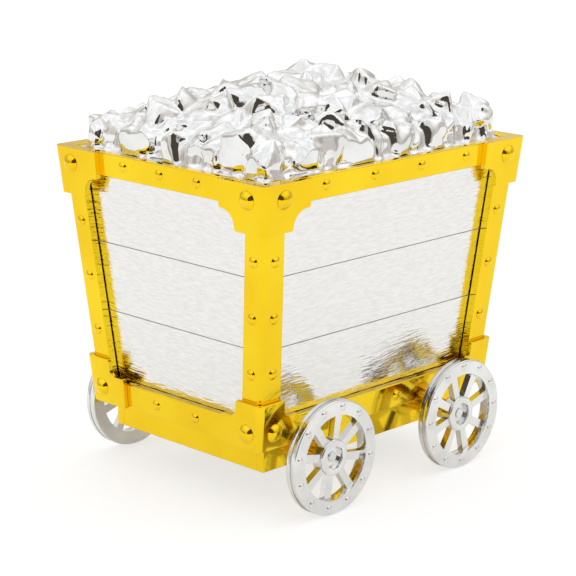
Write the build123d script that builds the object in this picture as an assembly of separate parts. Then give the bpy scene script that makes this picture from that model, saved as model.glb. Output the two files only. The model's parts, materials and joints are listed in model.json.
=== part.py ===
"""Mine cart: a plated display cart with a riveted frame, plank walls, a load of ore and four spoked wheels.

Millimetres. +X is the direction of travel, +Y the left side, +Z up. The origin lies on the ground
under the middle of the cart. The tub leans: it is longest and widest at its rim.
"""
from build123d import *
from math import atan, degrees
import os

# ---- Tub: overall sizes ----
RIM_LENGTH = 150.0          # over the upper brackets, along X
RIM_WIDTH = 118.8           # over the upper brackets, along Y
TUB_HEIGHT = 104.8          # underside of the tub to the top of the rim
AXLE_DROP = 5.55            # underside of the tub down to the middle of the axles
END_LEAN = 0.075            # the end walls lean in by this much for each mm down
SIDE_LEAN = 0.104           # the same for the side walls

# ---- Tub: frame ----
FRAME_THICKNESS = 3.5       # posts and rails, measured square to X or Y
POST_ON_END = 9.8           # width of a post on the end face
POST_ON_SIDE = 11.0         # width of a post on the side face
POST_CORNER_RADIUS = 1.8
UPPER_RAIL_DEPTH = 9.5
LOWER_RAIL_DEPTH = 10.3
EDGE_RADIUS = 0.5           # rounded edge along the rails

# ---- Tub: corner brackets ----
UPPER_PROUD = 2.3           # how far an upper bracket stands out from the frame
UPPER_ARM = 24.9            # corner to the end of the arm
UPPER_LEG = 15.4            # corner to the inner edge of the leg
UPPER_ARM_DEPTH = 11.0
UPPER_LEG_DEPTH = 18.9
UPPER_CORNER_RADIUS = 3.0
UPPER_WEB_RADIUS = 6.4      # hollow corner between arm and leg
LOWER_PROUD = 2.0
LOWER_ARM = 19.8
LOWER_LEG = 13.4
LOWER_ARM_DEPTH = 12.4
LOWER_LEG_DEPTH = 19.1
LOWER_CORNER_RADIUS = 2.6
LOWER_WEB_RADIUS = 3.0
BRACKET_TIP_RADIUS = 1.0

# ---- Tub: walls and floor ----
PLANK_THICKNESS = 3.0
PLANKS_PER_WALL = 3
SEAM = 0.25                 # open joint between two planks
PLANK_EDGE = 0.4            # chamfer along a plank's long outer edges
RABBET = 2.6                # the planks stop this far below the rim, and the load's flange rests there
FLOOR_THICKNESS = 3.0
WALL_GAP = 0.15             # floor to wall, all round

# ---- Fasteners: head diameter, head height, shank diameter ----
POST_RIVET = (4.4, 1.2, 1.6)
RAIL_RIVET = (4.2, 1.2, 1.6)
UPPER_BOLT = (7.4, 2.2, 2.4)
LOWER_BOLT = (7.4, 2.2, 2.4)
CHASSIS_SCREW = (5.0, 1.4, 2.4)
WHEEL_RIVET = (2.6, 0.7, 1.2)
SHANK_GAP = 0.05            # shank to hole, on the radius
SHANK_GRIP = 1.8            # how far a rivet bites into the plank behind the frame
BOLT_CLEAR = 0.2            # a bracket bolt stops this far short of the plank behind the post
RIVETS_PER_POST = 3         # on each face, spread evenly between the brackets
POST_RIVET_ON_END = 5.2     # post corner to rivet
RIVET_SPACE = 0.3           # between the shanks that cross in a post
UPPER_RIVET_BELOW_RIM = 4.3
LOWER_RIVET_ABOVE_SILL = 5.2
UPPER_RIVETS_ON_END = (3, 0.66)    # count, and bracket arm to first rivet as a share of the pitch
UPPER_RIVETS_ON_SIDE = (4, 0.37)
LOWER_RIVETS_ON_END = (2, 0.76)
LOWER_RIVETS_ON_SIDE = (4, 0.46)
UPPER_BOLT_BELOW_RIM = 6.3
UPPER_BOLT_ON_END = 6.8     # post corner to bolt
UPPER_BOLT_ON_SIDE = 8.2
LOWER_BOLT_ABOVE_SILL = 6.7
LOWER_BOLT_ON_END = 5.1
LOWER_BOLT_ON_SIDE = 6.2

# ---- Chassis ----
CHASSIS_INSET_X = 6.0       # the chassis lies this far in from the tub's foot, at each end
CHASSIS_INSET_Y = 3.8       # and at each side
CHASSIS_DEPTH = 11.0
CHASSIS_WALL = 4.0
BEARER_X = 16.0             # cross bearers, forward and back of the middle
BEARER_WIDTH = 12.0
BEARER_DEPTH = 4.0
SCREW_SPREAD = 50.0         # between the two screws of a bearer
SCREW_BITE = 2.4            # into the floor

# ---- Wheels and axles ----
WHEEL_DIAMETER = 45.3
WHEEL_BASE = 75.4
WHEEL_CLEAR = 7.6           # lower bracket's foot to the wheel's inner face
RIM_BAND = 5.7              # radial width of the wheel's rim
RIM_BREADTH = 4.8           # along the axle
RIM_EDGE = 0.6
TREAD_GROOVE = 0.5
SPOKES = 8
SPOKE_WIDTH_AT_RIM = 3.7
SPOKE_WIDTH_AT_HUB = 2.9
SPOKE_THICKNESS = 2.8
SPOKE_RECESS = 1.6          # the spokes lie this far in from the rim's outer face
SPOKE_ROOT = 1.0            # a spoke runs this far into the hub and into the rim
HUB_RECESS = 0.6            # the same for the hub
HUB_DIAMETER = 14.4
HUB_LENGTH = 5.6
HUB_EDGE = 0.8
DISH_DIAMETER = 9.0
DISH_DEPTH = 1.8
RIVETS_PER_WHEEL = 12
WHEEL_RIVET_GRIP = 2.0
WHEEL_RIVET_INSET = 2.65    # wheel's outer edge to the rivets
WHEEL_TURNS = {"front_left": 11.0, "front_right": 60.0, "rear_left": 31.0, "rear_right": -10.3}
AXLE_DIAMETER = 4.0
AXLE_TIP = 0.7              # the axle stands out of the dish by this much
PRESS_GAP = 0.01            # axle to wheel bore, on the radius
RUNNING_GAP = 0.08          # axle to bush, on the radius
BUSH_WALL = 1.92
END_FLOAT = 0.4             # bush to wheel hub, along the axle

# ---- Load of ore ----
LOAD_GAP = 0.35             # load to rail and load to plank
FLANGE_THICKNESS = 2.2
PLUG_DEPTH = 5.0            # below the flange, inside the planks
MOUND_STEPS = ((0.0, 2.8), (9.0, 4.2), (16.0, 13.0), (22.5, 26.0), (28.0, 40.0))  # height, step in

# ---- Worked out from the sizes above ----
FACES = ("front", "rear", "left", "right")
AXLE_HEIGHT = WHEEL_DIAMETER / 2
AXLE_X = WHEEL_BASE / 2
SILL_HEIGHT = AXLE_HEIGHT + AXLE_DROP
RIM_HEIGHT = SILL_HEIGHT + TUB_HEIGHT
LEDGE_HEIGHT = RIM_HEIGHT - RABBET
PLANKS_FROM = SILL_HEIGHT + LOWER_RAIL_DEPTH
PLANKS_TO = RIM_HEIGHT - UPPER_RAIL_DEPTH
PLANK_PITCH = (PLANKS_TO - PLANKS_FROM) / PLANKS_PER_WALL
INNER_OFFSET = FRAME_THICKNESS + PLANK_THICKNESS
RIVET_GRIP = FRAME_THICKNESS + SHANK_GRIP
POST_RIVET_ON_SIDE = RIVET_GRIP + POST_RIVET[2] / 2 + RIVET_SPACE
BUSH_DIAMETER = AXLE_DIAMETER + 2 * (RUNNING_GAP + BUSH_WALL)


def half_length(z, out=0.0):
    """Half the length of the frame's outside at height z, moved outwards by out."""
    return RIM_LENGTH / 2 - UPPER_PROUD - END_LEAN * (RIM_HEIGHT - z) + out


def half_width(z, out=0.0):
    """Half the width of the frame's outside at height z, moved outwards by out."""
    return RIM_WIDTH / 2 - UPPER_PROUD - SIDE_LEAN * (RIM_HEIGHT - z) + out


CHASSIS_LENGTH = 2 * (half_length(SILL_HEIGHT) - CHASSIS_INSET_X)
CHASSIS_WIDTH = 2 * (half_width(SILL_HEIGHT) - CHASSIS_INSET_Y)
WHEEL_FACE_Y = half_width(SILL_HEIGHT, LOWER_PROUD) + WHEEL_CLEAR + RIM_BREADTH
HUB_OUTER_Y = WHEEL_FACE_Y - HUB_RECESS
HUB_INNER_Y = HUB_OUTER_Y - HUB_LENGTH


def leaning_block(z_low, z_high, x_low, x_high, y_low, y_high):
    """Six-sided solid between two heights. Each side is a function of the height."""
    rings = []
    for z in (z_low, z_high):
        xs, ys = (x_low(z), x_high(z)), (y_low(z), y_high(z))
        rings.append([(xs[0], ys[0], z), (xs[1], ys[0], z), (xs[1], ys[1], z), (xs[0], ys[1], z)])
    low, high = rings
    sides = [[low[i], low[(i + 1) % 4], high[(i + 1) % 4], high[i]] for i in range(4)]
    faces = [Face(Wire.make_polygon(points, close=True)) for points in [low, high, *sides]]
    return Part() + Solid(Shell(faces))


def tub_block(z_low, z_high, out):
    """The whole leaning tub between two heights, moved outwards by out."""
    return leaning_block(
        z_low,
        z_high,
        lambda z: -half_length(z, out),
        lambda z: half_length(z, out),
        lambda z: -half_width(z, out),
        lambda z: half_width(z, out),
    )


def four_corners(piece, name):
    """The piece of the front left corner, and its three mirror images."""
    front_right = mirror(piece, about=Plane.XZ)
    return {
        f"{name}_front_left": piece,
        f"{name}_front_right": front_right,
        f"{name}_rear_left": mirror(piece, about=Plane.YZ),
        f"{name}_rear_right": mirror(front_right, about=Plane.YZ),
    }


def two_ends(piece, name):
    return {f"{name}_front": piece, f"{name}_rear": mirror(piece, about=Plane.YZ)}


def two_sides(piece, name):
    return {f"{name}_left": piece, f"{name}_right": mirror(piece, about=Plane.XZ)}


# ---- Fasteners ----
def face_plane(face, along, z, out=0.0):
    """Plane on a face of the tub at height z. along is its Y on an end, its X on a side. Its Z points out."""
    sign = 1 if face in ("front", "left") else -1
    if face in ("front", "rear"):
        origin = (sign * half_length(z, out), along, z)
        return Plane(origin=origin, x_dir=(0, sign, 0), z_dir=(sign, 0, -END_LEAN))
    origin = (along, sign * half_width(z, out), z)
    return Plane(origin=origin, x_dir=(-sign, 0, 0), z_dir=(0, sign, -SIDE_LEAN))


def row(low, high, count, margin=0.5):
    """Evenly spread places between two ends. margin is end to first place, as a share of the pitch."""
    pitch = (high - low) / (count - 1 + 2 * margin)
    return [low + pitch * (margin + i) for i in range(count)]


def rows_on_rails(z, bracket_z, proud, arm, on_ends, on_sides):
    """Planes of a row of rivets on each rail, between the arms of the brackets at its ends."""
    planes = []
    for face in FACES:
        if face in ("front", "rear"):
            reach, spread = half_width(bracket_z, proud) - arm, on_ends
        else:
            reach, spread = half_length(bracket_z, proud) - arm, on_sides
        planes += [face_plane(face, along, z) for along in row(-reach, reach, *spread)]
    return planes


def corner_planes(z, from_corner_on_end, from_corner_on_side, out=0.0):
    """Planes beside each corner of the tub, on both faces that meet there."""
    planes = []
    for face in FACES:
        if face in ("front", "rear"):
            reach = half_width(z) - from_corner_on_end
        else:
            reach = half_length(z) - from_corner_on_side
        planes += [face_plane(face, along, z, out) for along in (-reach, reach)]
    return planes


def domed(size, grip):
    """Domed fastener on the XY plane: its head above, its shank reaching grip below."""
    head_diameter, head_height, shank_diameter = size
    radius = head_diameter / 2
    ball = (radius**2 + head_height**2) / (2 * head_height)
    head = Pos(0, 0, head_height - ball) * Sphere(ball)
    head &= Cylinder(radius, head_height, align=(Align.CENTER, Align.CENTER, Align.MIN))
    return head + Cylinder(shank_diameter / 2, grip, align=(Align.CENTER, Align.CENTER, Align.MAX))


def drill(size, grip):
    """The hole for a domed fastener, open above the XY plane."""
    above = size[1] + 1
    hole = Cylinder(size[2] / 2 + SHANK_GAP, grip + above, align=(Align.CENTER, Align.CENTER, Align.MAX))
    return Pos(0, 0, above) * hole


def fasten(size, grip, planes):
    """The fasteners at the planes, and the holes that they need."""
    solids = [plane.location * domed(size, grip) for plane in planes]
    holes = [plane.location * drill(size, grip) for plane in planes]
    return solids, holes


def boxes_meet(one, other):
    """Whether the two bounding boxes overlap."""
    a, b = one.bounding_box(), other.bounding_box()
    in_x = a.min.X < b.max.X and b.min.X < a.max.X
    in_y = a.min.Y < b.max.Y and b.min.Y < a.max.Y
    in_z = a.min.Z < b.max.Z and b.min.Z < a.max.Z
    return in_x and in_y and in_z


def bored(piece, holes):
    """The piece with those of the holes that reach it."""
    near = [hole for hole in holes if boxes_meet(piece, hole)]
    return piece - near if near else piece


def tub_fasteners():
    """Rivets and bolts of the tub, and all their holes."""
    post_planes = []
    for z in row(SILL_HEIGHT + LOWER_LEG_DEPTH, RIM_HEIGHT - UPPER_LEG_DEPTH, RIVETS_PER_POST):
        post_planes += corner_planes(z, POST_RIVET_ON_END, POST_RIVET_ON_SIDE)
    upper_z = RIM_HEIGHT - UPPER_RIVET_BELOW_RIM
    lower_z = SILL_HEIGHT + LOWER_RIVET_ABOVE_SILL
    upper_bolt_z = RIM_HEIGHT - UPPER_BOLT_BELOW_RIM
    lower_bolt_z = SILL_HEIGHT + LOWER_BOLT_ABOVE_SILL
    kinds = {
        "post_rivets": fasten(POST_RIVET, RIVET_GRIP, post_planes),
        "upper_rail_rivets": fasten(
            RAIL_RIVET,
            RIVET_GRIP,
            rows_on_rails(
                upper_z, RIM_HEIGHT, UPPER_PROUD, UPPER_ARM, UPPER_RIVETS_ON_END, UPPER_RIVETS_ON_SIDE
            ),
        ),
        "lower_rail_rivets": fasten(
            RAIL_RIVET,
            RIVET_GRIP,
            rows_on_rails(
                lower_z, SILL_HEIGHT, LOWER_PROUD, LOWER_ARM, LOWER_RIVETS_ON_END, LOWER_RIVETS_ON_SIDE
            ),
        ),
        "upper_bracket_bolts": fasten(
            UPPER_BOLT,
            UPPER_PROUD + FRAME_THICKNESS - BOLT_CLEAR,
            corner_planes(upper_bolt_z, UPPER_BOLT_ON_END, UPPER_BOLT_ON_SIDE, UPPER_PROUD),
        ),
        "lower_bracket_bolts": fasten(
            LOWER_BOLT,
            LOWER_PROUD + FRAME_THICKNESS - BOLT_CLEAR,
            corner_planes(lower_bolt_z, LOWER_BOLT_ON_END, LOWER_BOLT_ON_SIDE, LOWER_PROUD),
        ),
    }
    nodes = {name: solids for name, (solids, holes) in kinds.items()}
    all_holes = [hole for solids, holes in kinds.values() for hole in holes]
    return nodes, all_holes


# ---- Tub frame ----
def corner_post():
    """Angle post of the front left corner, leaning both ways."""
    post = leaning_block(
        SILL_HEIGHT,
        RIM_HEIGHT,
        lambda z: half_length(z) - POST_ON_SIDE,
        half_length,
        lambda z: half_width(z) - POST_ON_END,
        half_width,
    )
    post -= leaning_block(
        SILL_HEIGHT - 1,
        RIM_HEIGHT + 1,
        lambda z: half_length(z) - POST_ON_SIDE - 1,
        lambda z: half_length(z) - FRAME_THICKNESS,
        lambda z: half_width(z) - POST_ON_END - 1,
        lambda z: half_width(z) - FRAME_THICKNESS,
    )
    corner = post.edges().sort_by_distance((RIM_LENGTH, RIM_WIDTH, RIM_HEIGHT / 2))[0]
    return fillet(corner, POST_CORNER_RADIUS)


def rail(z_low, z_high, on_end):
    """Rail between two posts, on the front end or on the left side."""
    if on_end:
        piece = leaning_block(
            z_low,
            z_high,
            lambda z: half_length(z) - FRAME_THICKNESS,
            half_length,
            lambda z: -half_width(z) + POST_ON_END,
            lambda z: half_width(z) - POST_ON_END,
        )
        outward = Axis.X
    else:
        piece = leaning_block(
            z_low,
            z_high,
            lambda z: -half_length(z) + POST_ON_SIDE,
            lambda z: half_length(z) - POST_ON_SIDE,
            lambda z: half_width(z) - FRAME_THICKNESS,
            half_width,
        )
        outward = Axis.Y
    face = piece.faces().sort_by(outward)[-1]
    long_edges = face.edges().sort_by(Axis.Z)
    return fillet([long_edges[0], long_edges[-1]], EDGE_RADIUS)


def bracket_prism(corner, arm, leg, arm_depth, leg_depth, z_edge, upright, web_radius):
    """Prism of a bracket's outline: X along the face, Y for the height, thick along Z.

    corner(z) is the distance of the corner from the middle. upright is -1 for a leg that hangs down.
    """
    z_arm = z_edge + upright * arm_depth
    z_leg = z_edge + upright * leg_depth
    beyond = corner(max(z_edge, z_leg)) + 20
    arm_tip = (corner(z_edge) - arm, z_arm)
    web = (corner(z_arm) - leg, z_arm)
    leg_tip = (corner(z_leg) - leg, z_leg)
    outline = Polyline(
        (beyond, z_edge), (arm_tip[0], z_edge), arm_tip, web, leg_tip, (beyond, z_leg), close=True
    )
    thickness = max(RIM_LENGTH, RIM_WIDTH)
    prism = extrude(make_face(outline), thickness)
    for point, radius in ((web, web_radius), (arm_tip, BRACKET_TIP_RADIUS), (leg_tip, BRACKET_TIP_RADIUS)):
        upright_edges = prism.edges().filter_by(Axis.Z)
        prism = fillet(upright_edges.sort_by_distance((*point, thickness / 2))[0], radius)
    return prism


def bracket(z_edge, upright, proud, arm, leg, arm_depth, leg_depth, corner_radius, web_radius):
    """Corner bracket of the front left corner: two plates that wrap the post and the ends of the rails."""
    z_far = z_edge + upright * leg_depth
    z_low, z_high = min(z_edge, z_far), max(z_edge, z_far)

    def length_out(z):
        return half_length(z, proud)

    def width_out(z):
        return half_width(z, proud)

    side_plate = leaning_block(z_low, z_high, lambda z: 0.0, length_out, half_width, width_out)
    end_plate = leaning_block(z_low, z_high, half_length, length_out, lambda z: 0.0, width_out)
    shape = (arm, leg, arm_depth, leg_depth, z_edge, upright, web_radius)
    side_cut = Plane.XZ.offset(-max(RIM_LENGTH, RIM_WIDTH)).location * bracket_prism(length_out, *shape)
    end_cut = Plane.YZ.location * bracket_prism(width_out, *shape)
    piece = (side_plate & side_cut) + (end_plate & end_cut)
    corner = piece.edges().sort_by_distance((RIM_LENGTH, RIM_WIDTH, (z_low + z_high) / 2))[0]
    return fillet(corner, corner_radius)


# ---- Walls, floor and load ----
def plank(z_low, z_high, on_end):
    """One plank of the front end or of the left side. The side planks run past the end ones."""
    outer, inner = -FRAME_THICKNESS, -INNER_OFFSET
    if on_end:
        piece = leaning_block(
            z_low,
            z_high,
            lambda z: half_length(z, inner),
            lambda z: half_length(z, outer),
            lambda z: -half_width(z, inner),
            lambda z: half_width(z, inner),
        )
        outward = Axis.X
    else:
        piece = leaning_block(
            z_low,
            z_high,
            lambda z: -half_length(z, outer),
            lambda z: half_length(z, outer),
            lambda z: half_width(z, inner),
            lambda z: half_width(z, outer),
        )
        outward = Axis.Y
    face = piece.faces().sort_by(outward)[-1]
    long_edges = face.edges().sort_by(Axis.Z)
    return chamfer([long_edges[0], long_edges[-1]], PLANK_EDGE)


def plank_heights():
    """Lower and upper edge of each plank, from the sill up."""
    seams = [PLANKS_FROM + PLANK_PITCH * i for i in range(1, PLANKS_PER_WALL)]
    lows = [SILL_HEIGHT, *[seam + SEAM / 2 for seam in seams]]
    highs = [*[seam - SEAM / 2 for seam in seams], LEDGE_HEIGHT]
    return list(zip(lows, highs))


def ore_load():
    """Solid cast load: a plug inside the planks, a flange on their tops, and the mound of ore."""
    piece = tub_block(LEDGE_HEIGHT - PLUG_DEPTH, LEDGE_HEIGHT, -INNER_OFFSET - LOAD_GAP)
    flange_top = LEDGE_HEIGHT + FLANGE_THICKNESS
    edge = -FRAME_THICKNESS - LOAD_GAP
    piece += tub_block(LEDGE_HEIGHT, flange_top, edge)
    for (low, low_in), (high, high_in) in zip(MOUND_STEPS, MOUND_STEPS[1:]):
        piece += mound_step(flange_top, low, low_in - edge, high, high_in - edge)
    return piece


def mound_step(base, low, low_in, high, high_in):
    """One sloping course of the mound, set in from the frame's outside by more at its top."""
    slope = (high_in - low_in) / (high - low)

    def inset(z):
        return low_in + slope * (z - base - low)

    length, width = half_length(RIM_HEIGHT), half_width(RIM_HEIGHT)
    return leaning_block(
        base + low,
        base + high,
        lambda z: -length + inset(z),
        lambda z: length - inset(z),
        lambda z: -width + inset(z),
        lambda z: width - inset(z),
    )


# ---- Chassis ----
def chassis():
    """Box of two sills and two end beams, with a pair of cross bearers between the sills."""
    low = SILL_HEIGHT - CHASSIS_DEPTH
    inner_width = CHASSIS_WIDTH - 2 * CHASSIS_WALL
    up = (Align.CENTER, Align.CENTER, Align.MIN)
    sill = Pos(0, (CHASSIS_WIDTH - CHASSIS_WALL) / 2, low) * Box(
        CHASSIS_LENGTH, CHASSIS_WALL, CHASSIS_DEPTH, align=up
    )
    for x in (-AXLE_X, AXLE_X):
        bore = Rot(90, 0, 0) * Cylinder(BUSH_DIAMETER / 2 + PRESS_GAP, CHASSIS_WIDTH * 2)
        sill -= Pos(x, 0, AXLE_HEIGHT) * bore
    beam = Pos((CHASSIS_LENGTH - CHASSIS_WALL) / 2, 0, low) * Box(
        CHASSIS_WALL, inner_width, CHASSIS_DEPTH, align=up
    )
    bearer = Pos(BEARER_X, 0, SILL_HEIGHT - BEARER_DEPTH) * Box(
        BEARER_WIDTH, inner_width, BEARER_DEPTH, align=up
    )
    return sill, beam, bearer


def chassis_screws():
    """Screws up through the cross bearers into the floor."""
    underside = SILL_HEIGHT - BEARER_DEPTH
    planes = [
        Plane(origin=(x, y, underside), x_dir=(1, 0, 0), z_dir=(0, 0, -1))
        for x in (-BEARER_X, BEARER_X)
        for y in (-SCREW_SPREAD / 2, SCREW_SPREAD / 2)
    ]
    return fasten(CHASSIS_SCREW, BEARER_DEPTH + SCREW_BITE, planes)


# ---- Wheels: built with the axle along Z and the rim's outer face on the XY plane ----
def wheel_rim():
    """Flat band with worn edges, and a groove round the tread."""
    outer, inner = WHEEL_DIAMETER / 2, WHEEL_DIAMETER / 2 - RIM_BAND
    band = Pos(0, 0, -RIM_BREADTH / 2) * (Cylinder(outer, RIM_BREADTH) - Cylinder(inner, RIM_BREADTH))
    band = fillet(band.edges().filter_by(GeomType.CIRCLE).group_by(SortBy.RADIUS)[-1], RIM_EDGE)
    groove = Cylinder(outer + 1, TREAD_GROOVE) - Cylinder(outer - TREAD_GROOVE, TREAD_GROOVE)
    return band - Pos(0, 0, -RIM_BREADTH / 2) * groove


def wheel():
    """Spoked wheel with a dished hub and blind holes for the rivets on its rim."""
    piece = wheel_rim()
    spoke_from = HUB_DIAMETER / 2 - SPOKE_ROOT
    spoke_to = WHEEL_DIAMETER / 2 - RIM_BAND + SPOKE_ROOT
    outline = Polyline(
        (spoke_from, -SPOKE_WIDTH_AT_HUB / 2),
        (spoke_to, -SPOKE_WIDTH_AT_RIM / 2),
        (spoke_to, SPOKE_WIDTH_AT_RIM / 2),
        (spoke_from, SPOKE_WIDTH_AT_HUB / 2),
        close=True,
    )
    spoke = Pos(0, 0, -SPOKE_RECESS) * extrude(make_face(outline), -SPOKE_THICKNESS)
    for i in range(SPOKES):
        piece += Rot(0, 0, 360 / SPOKES * i) * spoke
    hub = Pos(0, 0, -HUB_RECESS) * Cylinder(
        HUB_DIAMETER / 2, HUB_LENGTH, align=(Align.CENTER, Align.CENTER, Align.MAX)
    )
    piece += fillet(hub.edges().filter_by(GeomType.CIRCLE), HUB_EDGE)
    piece -= Pos(0, 0, -HUB_RECESS) * Cylinder(DISH_DIAMETER / 2, 2 * DISH_DEPTH)
    piece -= Cylinder(AXLE_DIAMETER / 2 + PRESS_GAP, RIM_BREADTH + 2 * HUB_LENGTH)
    return bored(piece, [location * drill(WHEEL_RIVET, WHEEL_RIVET_GRIP) for location in rivet_circle()])


def rivet_circle():
    return PolarLocations(WHEEL_DIAMETER / 2 - WHEEL_RIVET_INSET, RIVETS_PER_WHEEL).locations


def wheelsets():
    """Wheels, wheel rivets, axles and bushes, in their places."""
    nodes = {}
    for end, x in (("front", AXLE_X), ("rear", -AXLE_X)):
        rivets = []
        for side, sign in (("left", 1), ("right", -1)):
            turn = WHEEL_TURNS[f"{end}_{side}"]
            place = Pos(x, sign * WHEEL_FACE_Y, AXLE_HEIGHT) * Rot(-90 * sign, 0, 0) * Rot(0, 0, turn)
            nodes[f"wheel_{end}_{side}"] = place * wheel()
            rivets += [place * location * domed(WHEEL_RIVET, WHEEL_RIVET_GRIP) for location in rivet_circle()]
            bush_from = CHASSIS_WIDTH / 2 - CHASSIS_WALL
            bush_to = HUB_INNER_Y - END_FLOAT
            bush = Cylinder(BUSH_DIAMETER / 2, bush_to - bush_from)
            bush -= Cylinder(AXLE_DIAMETER / 2 + RUNNING_GAP, bush_to - bush_from)
            middle = sign * (bush_from + bush_to) / 2
            nodes[f"axle_bush_{end}_{side}"] = Pos(x, middle, AXLE_HEIGHT) * Rot(90, 0, 0) * bush
        nodes[f"wheel_rivets_{end}"] = rivets
        axle_length = 2 * (HUB_OUTER_Y - DISH_DEPTH + AXLE_TIP)
        axle = Cylinder(AXLE_DIAMETER / 2, axle_length)
        axle = fillet(axle.edges().filter_by(GeomType.CIRCLE), AXLE_TIP / 2)
        nodes[f"axle_{end}"] = Pos(x, 0, AXLE_HEIGHT) * Rot(90, 0, 0) * axle
    return nodes


# ---- The whole cart ----
def build():
    nodes, holes = tub_fasteners()
    nodes |= four_corners(bored(corner_post(), holes), "corner_post")
    for level, z_low, z_high in (
        ("upper", RIM_HEIGHT - UPPER_RAIL_DEPTH, RIM_HEIGHT),
        ("lower", SILL_HEIGHT, SILL_HEIGHT + LOWER_RAIL_DEPTH),
    ):
        nodes |= two_ends(bored(rail(z_low, z_high, True), holes), f"{level}_rail")
        nodes |= two_sides(bored(rail(z_low, z_high, False), holes), f"{level}_rail")
    upper = bracket(
        RIM_HEIGHT,
        -1,
        UPPER_PROUD,
        UPPER_ARM,
        UPPER_LEG,
        UPPER_ARM_DEPTH,
        UPPER_LEG_DEPTH,
        UPPER_CORNER_RADIUS,
        UPPER_WEB_RADIUS,
    )
    lower = bracket(
        SILL_HEIGHT,
        1,
        LOWER_PROUD,
        LOWER_ARM,
        LOWER_LEG,
        LOWER_ARM_DEPTH,
        LOWER_LEG_DEPTH,
        LOWER_CORNER_RADIUS,
        LOWER_WEB_RADIUS,
    )
    nodes |= four_corners(bored(upper, holes), "upper_bracket")
    nodes |= four_corners(bored(lower, holes), "lower_bracket")
    for name, (z_low, z_high) in zip(("low", "middle", "high"), plank_heights()):
        nodes |= two_ends(bored(plank(z_low, z_high, True), holes), f"plank_{name}")
        nodes |= two_sides(bored(plank(z_low, z_high, False), holes), f"plank_{name}")
    screws, screw_holes = chassis_screws()
    floor = tub_block(SILL_HEIGHT, SILL_HEIGHT + FLOOR_THICKNESS, -INNER_OFFSET - WALL_GAP)
    nodes["tub_floor"] = bored(floor, screw_holes)
    nodes["chassis_screws"] = screws
    sill, beam, bearer = chassis()
    nodes |= two_sides(sill, "chassis_sill")
    nodes |= two_ends(beam, "chassis_end_beam")
    nodes |= two_ends(bored(bearer, screw_holes), "cross_bearer")
    nodes |= wheelsets()
    nodes["ore_load"] = ore_load()
    return nodes


os.makedirs("parts", exist_ok=True)
for name, shape in build().items():
    export_step(Compound(shape) if isinstance(shape, list) else shape, f"parts/{name}.step")
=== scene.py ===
# %% [markdown]
# # A plated mine cart
# The cart is a small display piece: a plank tub in a riveted frame, mirror-plated in gold and silver,
# with a load of ore and four spoked wheels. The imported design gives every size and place, so this script
# only adds what a design file leaves out: worn edges, wood grain, lumps of ore, and the finishes.

# %% Load the design
import json
import math
import random

import bmesh
import bpy
from mathutils import Matrix, Vector

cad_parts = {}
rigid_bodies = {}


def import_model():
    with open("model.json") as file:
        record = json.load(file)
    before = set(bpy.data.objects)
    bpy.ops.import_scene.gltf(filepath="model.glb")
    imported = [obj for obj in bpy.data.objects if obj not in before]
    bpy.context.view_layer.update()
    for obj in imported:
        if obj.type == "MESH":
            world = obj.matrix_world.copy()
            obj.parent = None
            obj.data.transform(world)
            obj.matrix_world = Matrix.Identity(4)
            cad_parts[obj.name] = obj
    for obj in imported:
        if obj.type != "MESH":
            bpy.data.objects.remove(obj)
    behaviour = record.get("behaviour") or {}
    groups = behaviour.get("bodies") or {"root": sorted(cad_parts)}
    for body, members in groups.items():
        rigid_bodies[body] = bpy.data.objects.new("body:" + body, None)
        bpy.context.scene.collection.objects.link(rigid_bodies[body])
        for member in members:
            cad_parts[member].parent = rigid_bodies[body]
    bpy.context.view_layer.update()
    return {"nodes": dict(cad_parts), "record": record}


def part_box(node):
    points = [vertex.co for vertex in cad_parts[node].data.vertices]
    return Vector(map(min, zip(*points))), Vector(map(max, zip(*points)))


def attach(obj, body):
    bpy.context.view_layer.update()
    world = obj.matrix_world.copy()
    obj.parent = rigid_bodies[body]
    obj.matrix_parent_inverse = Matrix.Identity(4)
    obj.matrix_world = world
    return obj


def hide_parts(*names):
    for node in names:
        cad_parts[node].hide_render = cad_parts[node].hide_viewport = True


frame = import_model()
nodes = frame["nodes"]
MM = 0.001
ENDS = ("front", "rear")
SIDES = ("left", "right")
CORNERS = [f"{end}_{side}" for end in ENDS for side in SIDES]

# %% [markdown]
# ## Camera
# A long lens, from several times the cart's length away, keeps the edges nearly parallel. A short lens
# close by would make the near corner loom. The place of the camera is given as a turn about the cart, a
# height angle and a distance from a point inside the tub.

# %% Camera
CAMERA_TURN = math.radians(-45.55)
CAMERA_RISE = math.radians(14.35)
CAMERA_ROLL = math.radians(0.25)
CAMERA_DISTANCE = 0.8009
CAMERA_TARGET = Vector((0, 0, 0.0757))
LENS = 122.45
SHIFT = (-0.0084, -0.0173)


def direction(turn, rise):
    """Unit vector from the cart towards a place around it."""
    return Vector((math.sin(turn) * math.cos(rise), -math.cos(turn) * math.cos(rise), math.sin(rise)))


def add_camera():
    """The camera, aimed at its target from its place around the cart."""
    data = bpy.data.cameras.new("product_camera")
    data.lens = LENS
    data.sensor_width = 36
    data.shift_x, data.shift_y = SHIFT
    camera = bpy.data.objects.new("product_camera", data)
    bpy.context.scene.collection.objects.link(camera)
    back = direction(CAMERA_TURN, CAMERA_RISE)
    aim = back.to_track_quat("Z", "Y").to_matrix().to_4x4()
    roll = Matrix.Rotation(CAMERA_ROLL, 4, "Z")
    camera.matrix_world = Matrix.Translation(CAMERA_TARGET + back * CAMERA_DISTANCE) @ aim @ roll
    bpy.context.scene.camera = camera
    return camera


camera = add_camera()
print("camera at", [round(v, 3) for v in camera.matrix_world.translation])

# %% [markdown]
# ## Studio
# A mirror shows nothing but its surroundings, so the surroundings are the lighting. Plated pieces are
# shown in a white tent: bright on every side, with a floor that is just as pale. Lamps could light the
# cart too, but each would show as a hard spot. So the tent is the world itself. It is brighter above,
# dimmer and warmer low down, and soft upright folds in its cloth put slow changes into the reflections.

# %% Node helpers
scene = bpy.context.scene
scene.view_settings.view_transform = "Standard"
scene.view_settings.look = "None"


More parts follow.
